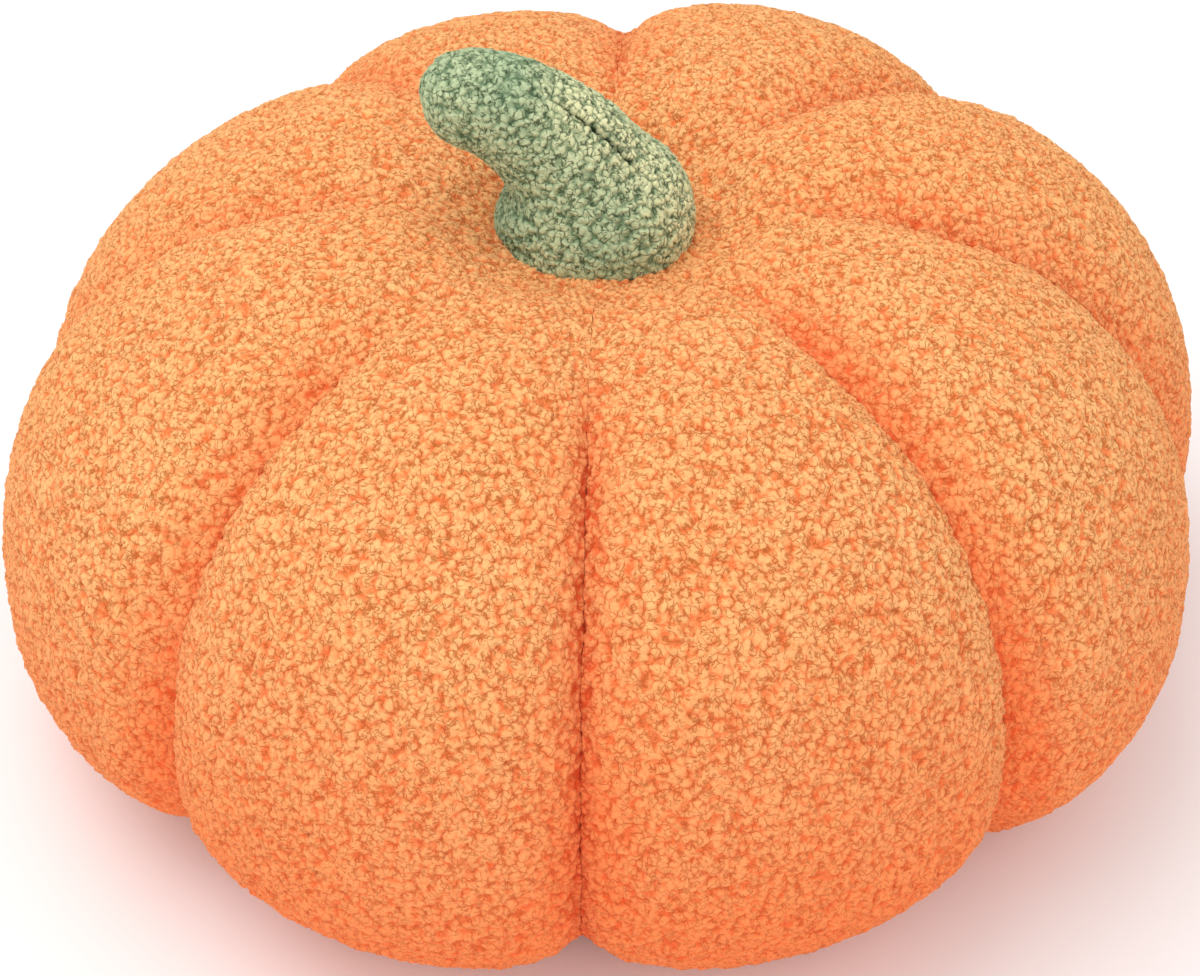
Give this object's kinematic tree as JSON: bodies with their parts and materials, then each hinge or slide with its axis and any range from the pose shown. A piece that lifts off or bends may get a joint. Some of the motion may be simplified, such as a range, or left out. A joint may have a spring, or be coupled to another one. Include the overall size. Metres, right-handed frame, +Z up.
{
  "type": "pumpkin cushion",
  "caption": "Round gored cushion in looped fleece, filled firm like a squat pumpkin, with a bent stuffed stem sewn to the dimple on top.",
  "frame": {"origin": "on the floor, under the middle of the cushion's width and depth", "axes": "+Z up through the stem, -Y towards the front seam, +X to the right; the stem bends towards -X"},
  "size_m": [0.3497, 0.3423, 0.199],
  "materials": {
    "orange_fleece": "matt looped pile",
    "sage_fleece": "matt looped pile"
  },
  "bodies": {
    "root": {"cushion_body": "orange_fleece", "stem": "sage_fleece"}
  },
  "joints": []
}
